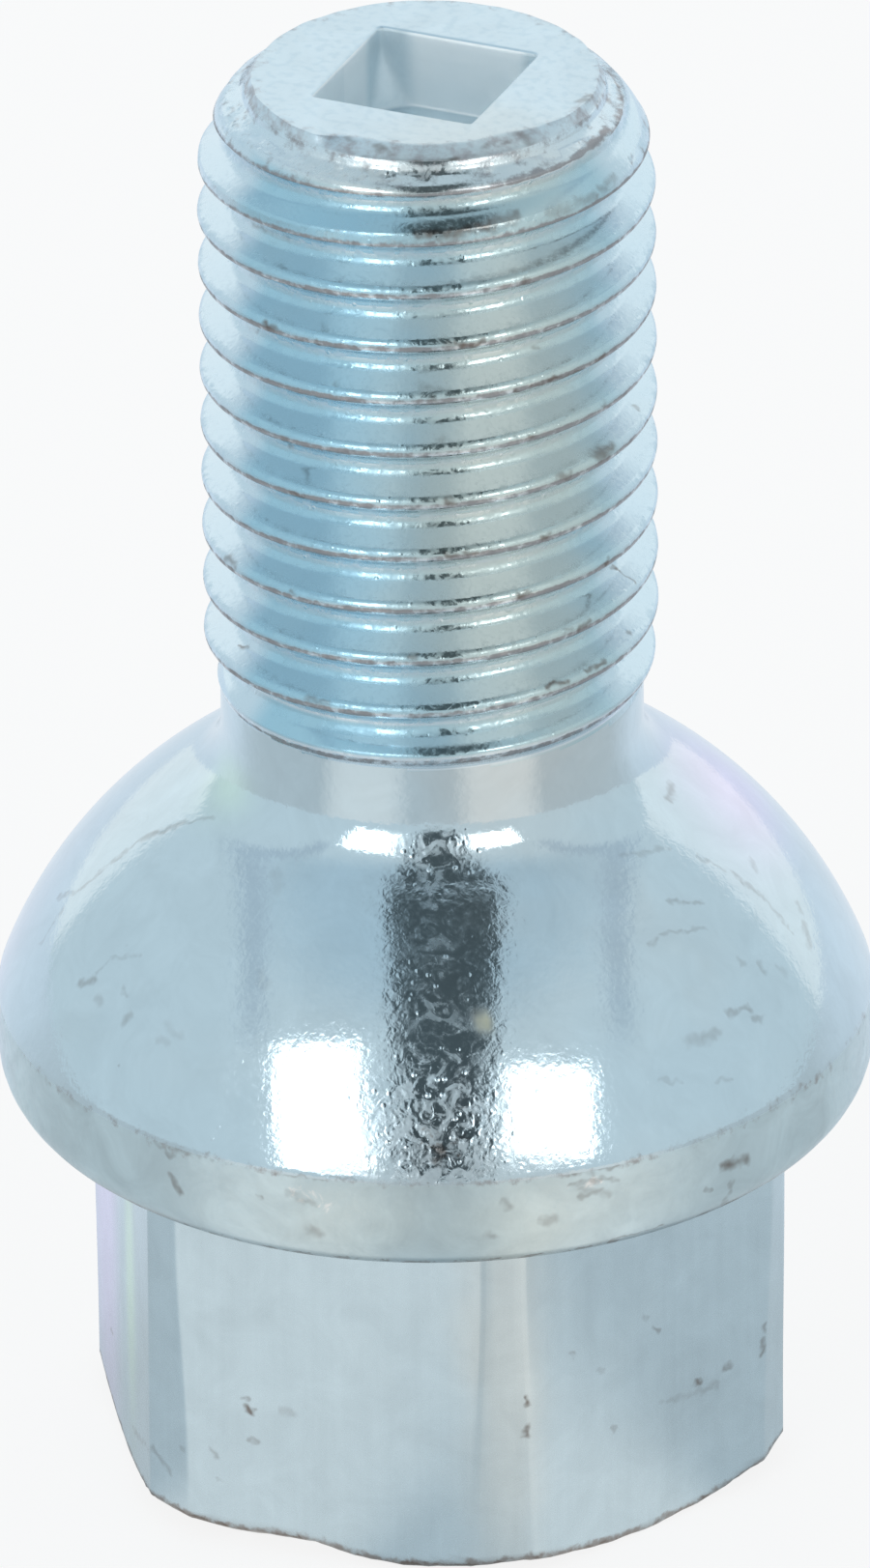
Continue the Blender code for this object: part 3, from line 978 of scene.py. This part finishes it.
        (-28.7, 8.45, 5.89, -27.8, 8.46, 5.81, 0.07, 0.45),
        (-4.6, 9.35, 4.67, -4.6, 9.35, 4.44, 0.07, 0.45),
        (-5.0, 9.32, 4.18, -5.2, 9.31, 3.84, 0.09, 0.55),
        (-163.0, 8.67, 2.3, -161.0, 8.61, 2.38, 0.07, 0.5),
        (-140.8, 8.56, 1.14, -123.6, 9.32, 2.0, 0.09, 0.3),
        (-123.6, 9.32, 2.0, -119.8, 9.3, 1.62, 0.09, 0.3),
    ],
}

wornColours = {
    # the dark colour of dirt and of painted shade
    "grimeAndPaintedShade": (0.18, 0.145, 0.125),
    "green": (0.71, 0.90, 0.79),
    "violet": (0.78, 0.75, 0.95),
    "whitish": (0.90, 0.91, 0.90),
    "tan": (0.52, 0.53, 0.42),
}

grainValues = {  # a scale under 3 is a share of the finish's own scale
    "distortion": 0.3,
    "cellScale": 0.82,
    "cellShuffle": 7.0,
    "cellsUsed": (0.56, 0.62),
    "cellEdge": (0.32, 0.05),
    "pitHeight": 1.15,
    "lumps": ((2700.0, 1.4, 0.75), (6500.0, 0.0, 0.28)),  # scale, distortion and height
    "lumpHeight": 1.4,
    "wideScale": 0.12,
    "wideHeight": 1.2,
    "fineScale": 1.7,
    "patchEdge": (0.48, 0.66),
    "mattScale": 1700.0,
    "mattEdge": (0.40, 0.62),
}

tintValues = {
    "cloudScale": 260.0,
    "cloudAmount": 0.8,
    "whitishScale": 2300.0,
    "whitishAmount": 2.0,
    "whitishEdge": (0.55, 1.0),
    "streakScale": 2400.0,
    "streakStretch": (1, 1, 0.04),
    "blotchScale": 620.0,
}

wearValues = {
    "fineness": 2500.0,
    "wearEdge": (0.42, 0.85),
    "speckScale": 0.6,
    "grimeAmount": 2.2,
    "grimeAndShadeEdge": (0.5, 0.95),
    "grimeAndShadeFilm": 0.62,
    "markSpecks": 1.2,
    "markLeast": 0.5,
}

markValues = {
    "edge": (1.75, 0.1),
    "wander": 0.34,
    "wanderScale": 3300.0,
}


def node(tree, kind, **settings):
    made = tree.nodes.new(kind)
    for key, value in settings.items():
        setattr(made, key, value)
    return made


def plug(tree, socket, value):
    if isinstance(value, bpy.types.NodeSocket):
        tree.links.new(value, socket)
    elif isinstance(value, (tuple, list)) and len(value) == 3 and socket.type == "RGBA":
        socket.default_value = (*value, 1)
    else:
        socket.default_value = value


def maths(tree, operation, *values):
    made = node(tree, "ShaderNodeMath", operation=operation)
    for socket, value in zip(made.inputs, values):
        plug(tree, socket, value)
    return made.outputs[0]


def plus(tree, a, b):
    return maths(tree, "ADD", a, b)


def minus(tree, a, b):
    return maths(tree, "SUBTRACT", a, b)


def times(tree, a, b):
    return maths(tree, "MULTIPLY", a, b)


def swing(tree, value, amount):
    # as far below nothing as above it
    return times(tree, minus(tree, value, 0.5), amount)


def vectors(tree, operation, *values):
    made = node(tree, "ShaderNodeVectorMath", operation=operation)
    for socket, value in zip(made.inputs, values):
        plug(tree, socket, value)
    return made.outputs["Value" if operation in ("DOT_PRODUCT", "DISTANCE") else "Vector"]


def scaled(tree, vector, factor):
    made = node(tree, "ShaderNodeVectorMath", operation="SCALE")
    plug(tree, made.inputs[0], vector)
    plug(tree, made.inputs["Scale"], factor)
    return made.outputs[0]


def rangeStep(tree, value, low, high):
    made = node(tree, "ShaderNodeMapRange", interpolation_type="SMOOTHSTEP")
    plug(tree, made.inputs["Value"], value)
    plug(tree, made.inputs["From Min"], low)
    plug(tree, made.inputs["From Max"], high)
    return made.outputs["Result"]


def mixed(tree, factor, a, b):
    made = node(tree, "ShaderNodeMix", data_type="RGBA")
    plug(tree, made.inputs[0], factor)
    plug(tree, made.inputs[6], a)
    plug(tree, made.inputs[7], b)
    return made.outputs[2]


def mixShaders(tree, factor, first, second):
    made = node(tree, "ShaderNodeMixShader")
    plug(tree, made.inputs[0], factor)
    tree.links.new(first.outputs[0], made.inputs[1])
    tree.links.new(second.outputs[0], made.inputs[2])
    return made.outputs[0]


def objectPlace(tree):
    return node(tree, "ShaderNodeTexCoord").outputs["Object"]


def painted(tree, name):
    return node(tree, "ShaderNodeAttribute", attribute_name=name).outputs["Fac"]


def noiseAt(tree, scale, detail=2.0, roughness=0.5, distortion=0.0, vector=None, output="Fac"):
    made = node(tree, "ShaderNodeTexNoise")
    plug(tree, made.inputs["Vector"], vector or objectPlace(tree))
    plug(tree, made.inputs["Scale"], scale)
    plug(tree, made.inputs["Detail"], detail)
    plug(tree, made.inputs["Roughness"], roughness)
    plug(tree, made.inputs["Distortion"], distortion)
    return made.outputs[output]


def newGroup(name, inputs, outputs):
    tree = bpy.data.node_groups.new(name, "ShaderNodeTree")
    kinds = {1: "NodeSocketFloat", 3: "NodeSocketVector", 4: "NodeSocketColor"}
    for label, value in inputs.items():
        kind = kinds[len(value) if isinstance(value, tuple) else 1]
        socket = tree.interface.new_socket(name=label, in_out="INPUT", socket_type=kind)
        socket.default_value = value
    for label in outputs:
        kind = kinds[4 if label == "Colour" else 1]
        tree.interface.new_socket(name=label, in_out="OUTPUT", socket_type=kind)
    return tree, tree.nodes.new("NodeGroupInput").outputs, tree.nodes.new("NodeGroupOutput").inputs


def useGroup(tree, group, **inputs):
    made = node(tree, "ShaderNodeGroup", node_tree=group)
    for label, value in inputs.items():
        plug(tree, made.inputs[label], value)
    return made.outputs


def grainGroup():
    values = grainValues
    tree, entry, out = newGroup(
        "platingGrain", {"Scale": 4000.0, "Pits": 1.0}, ("Height", "Patches", "Matt"))
    pitted = painted(tree, "pitted")
    rough = maths(tree, "MINIMUM", pitted, 1.0)
    # some of the cells are round pits
    cells = node(tree, "ShaderNodeTexVoronoi")
    plug(tree, cells.inputs["Vector"], objectPlace(tree))
    plug(tree, cells.inputs["Scale"], times(tree, entry["Scale"], values["cellScale"]))
    drawn = maths(tree, "FRACT", times(tree, cells.outputs["Color"], values["cellShuffle"]))
    used = times(tree, rangeStep(tree, drawn, *values["cellsUsed"]), values["pitHeight"])
    pits = times(tree, rangeStep(tree, cells.outputs["Distance"], *values["cellEdge"]), used)
    pits = times(tree, times(tree, pits, rough), entry["Pits"])
    # and lumps lie between them
    broad, small = (
        times(tree, noiseAt(tree, scale, 1.0, 0.5, distortion), height)
        for scale, distortion, height in values["lumps"])
    lumps = times(tree, plus(tree, broad, small), times(tree, pitted, entry["Pits"]))
    coarse = noiseAt(tree, entry["Scale"], 2.0, 0.55, values["distortion"])
    wide = noiseAt(tree, times(tree, entry["Scale"], values["wideScale"]), 2.0, 0.5)
    height = plus(tree, plus(tree, coarse, pits), times(tree, wide, values["wideHeight"]))
    plug(tree, out["Height"], plus(tree, height, times(tree, lumps, values["lumpHeight"])))
    fine = noiseAt(tree, times(tree, entry["Scale"], values["fineScale"]), 1.0, 0.5)
    plug(tree, out["Patches"], rangeStep(tree, fine, *values["patchEdge"]))
    matt = rangeStep(tree, noiseAt(tree, values["mattScale"], 3.0, 0.6, 1.5), *values["mattEdge"])
    plug(tree, out["Matt"], times(tree, matt, rough))
    return tree


def tintGroup():
    values = tintValues
    tree, entry, out = newGroup(
        "platingTint",
        {"Plating": (0.6, 0.73, 0.8, 1), "Warm": (0.66, 0.7, 0.68, 1), "Mottle": 0.2, "Streaks": 0.0},
        ("Colour",))
    cloud = swing(tree, noiseAt(tree, values["cloudScale"], 3.0, 0.55), values["cloudAmount"])
    warmth = rangeStep(tree, plus(tree, painted(tree, "warmth"), cloud), 0.0, 1.0)
    colour = mixed(tree, warmth, entry["Plating"], entry["Warm"])
    bloom = painted(tree, "bloom")
    colour = mixed(tree, rangeStep(tree, bloom, 0.0, 1.0), colour, wornColours["green"])
    colour = mixed(tree, rangeStep(tree, times(tree, bloom, -1.0), 0.0, 1.0), colour, wornColours["violet"])
    dust = swing(tree, noiseAt(tree, values["whitishScale"], 4.0, 0.7, 1.0), values["whitishAmount"])
    dust = rangeStep(tree, plus(tree, painted(tree, "whitish"), dust), *values["whitishEdge"])
    colour = mixed(tree, dust, colour, wornColours["whitish"])
    drawn = vectors(tree, "MULTIPLY", objectPlace(tree), values["streakStretch"])
    streaks = swing(tree, noiseAt(tree, values["streakScale"], 3.0, 0.6, 0.0, drawn), entry["Streaks"])
    blotches = swing(tree, noiseAt(tree, values["blotchScale"], 4.0, 0.62, 0.8), entry["Mottle"])
    shade = plus(tree, plus(tree, blotches, streaks), 1.0)
    plug(tree, out["Colour"], scaled(tree, colour, shade))
    return tree


def wearGroup():
    values = wearValues
    tree, entry, out = newGroup(
        "handlingWear", {"Fineness": values["fineness"], "Marks": 0.0, "Contrast": 1.6},
        ("Wear", "GrimeAndPaintedShade"))
    ragged = swing(tree, noiseAt(tree, entry["Fineness"], 4.0, 0.65), entry["Contrast"])
    plug(tree, out["Wear"], rangeStep(tree, plus(tree, painted(tree, "wear"), ragged), *values["wearEdge"]))
    specks = noiseAt(tree, times(tree, entry["Fineness"], values["speckScale"]), 3.0, 0.7, 0.5)
    # painted shade and dirt: this attribute darkens dirty spots and, in front of the ball, paints shade where
    # the dark gap is mirrored
    grimeAndPaintedShade = painted(tree, "grimeAndPaintedShade")
    spotted = plus(tree, grimeAndPaintedShade, swing(tree, specks, values["grimeAmount"]))
    spotted = rangeStep(tree, spotted, *values["grimeAndShadeEdge"])
    film = times(tree, grimeAndPaintedShade, values["grimeAndShadeFilm"])
    broken = plus(tree, times(tree, specks, values["markSpecks"]), values["markLeast"])
    scuffs = maths(tree, "MINIMUM", times(tree, entry["Marks"], broken), 1.0)
    plug(tree, out["GrimeAndPaintedShade"], maths(tree, "MAXIMUM", maths(tree, "MAXIMUM", spotted, film), scuffs))
    return tree


def markGroup():
    # how near a point is to the line from a mark's start along its run
    none = (0.0, 0.0, 0.0)
    tree, entry, out = newGroup(
        "scuffMark",
        {"Place": none, "Start": none, "Run": none, "Share": none, "Thickness": 0.1, "Strength": 0.5},
        ("Amount",))
    away = vectors(tree, "SUBTRACT", entry["Place"], entry["Start"])
    along = node(tree, "ShaderNodeMath", operation="MINIMUM", use_clamp=True)
    plug(tree, along.inputs[0], vectors(tree, "DOT_PRODUCT", away, entry["Share"]))
    along.inputs[1].default_value = 1.0
    gap = vectors(tree, "DISTANCE", away, scaled(tree, entry["Run"], along.outputs[0]))
    amount = rangeStep(tree, maths(tree, "DIVIDE", gap, entry["Thickness"]), *markValues["edge"])
    plug(tree, out["Amount"], times(tree, amount, entry["Strength"]))
    return tree


def allMarks(tree, group, found):
    # the place wanders a little, so that no mark has a straight outline
    reach, back = markValues["wander"] * 0.001, -markValues["wander"] * 0.0005
    wander = noiseAt(tree, markValues["wanderScale"], 1.0, output="Color")
    offset = vectors(tree, "MULTIPLY_ADD", wander, (reach, reach, reach), (back, back, back))
    place = vectors(tree, "ADD", objectPlace(tree), offset)
    total = 0.0
    for mark in found:
        start, end = around(*mark[:3]) * 0.001, around(*mark[3:6]) * 0.001
        run = end - start
        amount = useGroup(
            tree, group, Place=place, Start=tuple(start), Run=tuple(run),
            Share=tuple(run / max(run.length_squared, 1e-12)),
            Thickness=mark[6] * 0.001, Strength=mark[7])[0]
        total = maths(tree, "MAXIMUM", total, amount)
    return total


def zincMaterial(name, finish, groups):
    material = bpy.data.materials.new(name)
    material.use_nodes = True
    tree = material.node_tree
    shader = tree.nodes["Principled BSDF"]
    shader.inputs["Metallic"].default_value = 1.0
    grain = useGroup(tree, groups["grain"], Scale=finish["grainScale"], Pits=finish["pits"])
    tint = useGroup(
        tree, groups["tint"], Plating=finish["plating"], Warm=finish["warm"],
        Mottle=finish["mottle"], Streaks=finish["streaks"])
    spots = times(tree, allMarks(tree, groups["mark"], marks.get(name, [])), finish["markStrength"])
    worn = useGroup(tree, groups["wear"], Marks=spots, Contrast=finish["wearContrast"])
    colour = tint["Colour"]
    # painted light: lower flanks, thread sides and the lit recess walls are painted paler, and so is the tip
    if "palest" in finish:
        colour = mixed(tree, times(tree, painted(tree, "paleAndPaintedLight"), finish["palest"]), colour, finish["paleAndPaintedLight"])
    colour = mixed(tree, times(tree, worn["Wear"], finish["wearCover"]), colour, finish["worn"])
    # dirt and scuffs, and the painted shade in front of the ball
    colour = mixed(tree, times(tree, worn["GrimeAndPaintedShade"], finish["grimeAndShadeCover"]), colour, wornColours["grimeAndPaintedShade"])
    if "driedSpot" in finish:
        # it lies on the plating and isn't metal
        dried = rangeStep(tree, painted(tree, "tan"), *finish["driedSpot"])
        colour = mixed(tree, dried, colour, wornColours["tan"])
        plug(tree, shader.inputs["Metallic"], minus(tree, 1.0, times(tree, dried, finish["driedCover"])))
    plug(tree, shader.inputs["Base Color"], colour)
    roughness = plus(tree, finish["roughness"], times(tree, grain["Patches"], finish["roughPatches"]))
    roughness = plus(tree, roughness, times(tree, worn["Wear"], finish["roughWorn"]))
    roughness = plus(tree, roughness, times(tree, grain["Matt"], finish["matt"]))
    plug(tree, shader.inputs["Roughness"], roughness)
    bump = node(tree, "ShaderNodeBump")
    bump.inputs["Distance"].default_value = finish["grainDepth"] * 0.001
    plug(tree, bump.inputs["Height"], grain["Height"])
    plug(tree, shader.inputs["Normal"], bump.outputs["Normal"])
    return material


boltPiece = makeBolt()
paint(boltPiece.data)
groups = {"grain": grainGroup(), "tint": tintGroup(), "wear": wearGroup(), "mark": markGroup()}
for name, finish in finishes.items():
    boltPiece.data.materials.append(zincMaterial(name, finish, groups))
print("zinc finishes made:", ", ".join(finishes))


# The studio

studio = {
    "floorWidth": 3.0,  # metres, as are the softboxes' sizes
    "floorColour": (0.9, 0.9, 0.9, 1),
    "floorGlow": 0.85,
    "paintedFloorShade": (0.60, 0.64, 0.66),  # painted shade: the grey that the metal mirrors of the floor
    "paintedFloorPools": (0.90, 0.89, 0.87),  # a painted pool of light on the floor under each softbox
    "poolTurn": 1.1,
    "poolEdge": (0.90, 0.985),
    "paintedFloorBack": (0.83, 0.89, 0.96),  # painted light: lighter far behind
    "floorBackEdge": (-0.2, -0.75),
    "backLight": (0.98, 1.0, 1.0),
    "backEdge": (-0.585, -0.635),
    "backTurn": 0.124,
    "panelLight": (0.70, 0.775, 0.81),
    "upperLight": (0.54, 0.65, 0.72),
    "upperEdge": (0.7, 0.95),
    "seamLight": (0.53, 0.605, 0.67),
    "seamRight": 0.635,
    "seamTurn": 0.2,
    "seamEdge": (0.075, 0.0),
    "seamFoot": (0.5, 0.66),
    "gapLight": (0.082, 0.103, 0.112),
    "gapRight": 0.035,
    "gapEdge": (0.235, 0.19),
    "gapTaper": 0.045,
    "gapTaperEdge": (0.75, 0.3),
    "gapFront": (-0.01, 0.05),
    "gapFoot": (0.12, 0.22),
    "aimHeight": 0.015,
    "softboxes": [
        {
            "name": "leftSoftbox", "azimuth": -33.0, "elevation": 26.5, "turn": 20.0,
            "width": 0.52, "height": 0.74, "distance": 1.3, "power": 2.14,
        },
        {
            "name": "rightSoftbox", "azimuth": 31.6, "elevation": 25.8, "turn": -15.0,
            "width": 0.51, "height": 0.50, "distance": 1.3, "power": 1.45,
        },
    ],
}


def towards(tree, way, azimuth):
    return vectors(tree, "DOT_PRODUCT", way, tuple(direction(view["azimuth"] + azimuth)))


def tentColour(tree):
    way = node(tree, "ShaderNodeTexCoord").outputs["Generated"]
    right, front = towards(tree, way, 90), towards(tree, way, 0)
    up = vectors(tree, "DOT_PRODUCT", way, (0, 0, 1))
    colour = mixed(tree, rangeStep(tree, up, *studio["upperEdge"]), studio["panelLight"], studio["upperLight"])
    behind = minus(tree, front, times(tree, right, studio["backTurn"]))
    colour = mixed(tree, rangeStep(tree, behind, *studio["backEdge"]), colour, studio["backLight"])
    # the edges of the overhead panels, from front to back on both sides
    seamAt = plus(tree, times(tree, front, studio["seamTurn"]), studio["seamRight"])
    offSeam = maths(tree, "ABSOLUTE", minus(tree, maths(tree, "ABSOLUTE", right), seamAt))
    seam = rangeStep(tree, offSeam, *studio["seamEdge"])
    seam = times(tree, seam, rangeStep(tree, up, *studio["seamFoot"]))
    colour = mixed(tree, seam, colour, studio["seamLight"])
    # a dark gap between the panels in front, narrower low down and open up to the top
    offGap = maths(tree, "ABSOLUTE", minus(tree, right, studio["gapRight"]))
    taper = times(tree, rangeStep(tree, up, *studio["gapTaperEdge"]), studio["gapTaper"])
    gap = rangeStep(tree, plus(tree, offGap, taper), *studio["gapEdge"])
    gap = times(tree, gap, rangeStep(tree, front, *studio["gapFront"]))
    gap = times(tree, gap, rangeStep(tree, up, *studio["gapFoot"]))
    return mixed(tree, gap, colour, studio["gapLight"])


def makeTent():
    world = bpy.data.worlds.new("lightTent")
    scene.world = world
    world.use_nodes = True
    tree = world.node_tree
    tree.nodes.clear()
    tent = node(tree, "ShaderNodeBackground")
    plug(tree, tent.inputs["Color"], tentColour(tree))
    white = node(tree, "ShaderNodeBackground")
    white.inputs["Color"].default_value = (1, 1, 1, 1)
    seen = node(tree, "ShaderNodeLightPath").outputs["Is Camera Ray"]
    out = node(tree, "ShaderNodeOutputWorld")
    plug(tree, out.inputs["Surface"], mixShaders(tree, seen, tent, white))


def makeSoftbox(box):
    light = bpy.data.lights.new(box["name"], "AREA")
    light.shape = "RECTANGLE"
    light.size, light.size_y = box["width"], box["height"]
    light.energy = box["power"]
    holder = bpy.data.objects.new(box["name"], light)
    scene.collection.objects.link(holder)
    back = direction(view["azimuth"] + box["azimuth"], box["elevation"])
    holder.location = Vector((0, 0, studio["aimHeight"])) + back * box["distance"]
    facing = back.to_track_quat("Z", "Y").to_matrix() @ Matrix.Rotation(math.radians(box["turn"]), 3, "Z")
    holder.rotation_euler = facing.to_euler()


def paintedFloorGlow(tree):
    # painted light and shade: what the metal sees of the floor, a grey with a pool of light under each softbox
    # and a lighter far end
    way = vectors(tree, "NORMALIZE", objectPlace(tree))
    pools = 0.0
    for box in studio["softboxes"]:
        under = towards(tree, way, box["azimuth"] * studio["poolTurn"])
        pools = plus(tree, pools, rangeStep(tree, under, *studio["poolEdge"]))
    grey = mixed(tree, pools, studio["paintedFloorShade"], studio["paintedFloorPools"])
    behind = rangeStep(tree, towards(tree, way, 0), *studio["floorBackEdge"])
    return mixed(tree, behind, grey, studio["paintedFloorBack"])


def makeFloor():
    bm = bmesh.new()
    bmesh.ops.create_grid(bm, x_segments=1, y_segments=1, size=studio["floorWidth"] / 2)
    mesh = bpy.data.meshes.new("floor")
    bm.to_mesh(mesh)
    bm.free()
    floor = bpy.data.objects.new("floor", mesh)
    scene.collection.objects.link(floor)
    material = bpy.data.materials.new("whiteFloor")
    material.use_nodes = True
    tree = material.node_tree
    tree.nodes.clear()
    matt = node(tree, "ShaderNodeBsdfDiffuse")
    matt.inputs["Color"].default_value = studio["floorColour"]
    path = node(tree, "ShaderNodeLightPath")
    glow = node(tree, "ShaderNodeEmission")
    white = (1.0, 1.0, 1.0)
    plug(tree, glow.inputs["Color"], mixed(tree, path.outputs["Is Camera Ray"], paintedFloorGlow(tree), white))
    seen = maths(tree, "MAXIMUM", path.outputs["Is Camera Ray"], path.outputs["Is Glossy Ray"])
    out = node(tree, "ShaderNodeOutputMaterial")
    plug(tree, out.inputs["Surface"], mixShaders(tree, times(tree, seen, studio["floorGlow"]), matt, glow))
    mesh.materials.append(material)


makeTent()
for box in studio["softboxes"]:
    makeSoftbox(box)
makeFloor()
scene.view_settings.view_transform = "Standard"
print("studio set")

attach(boltPiece, "root")
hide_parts("wheel_bolt")
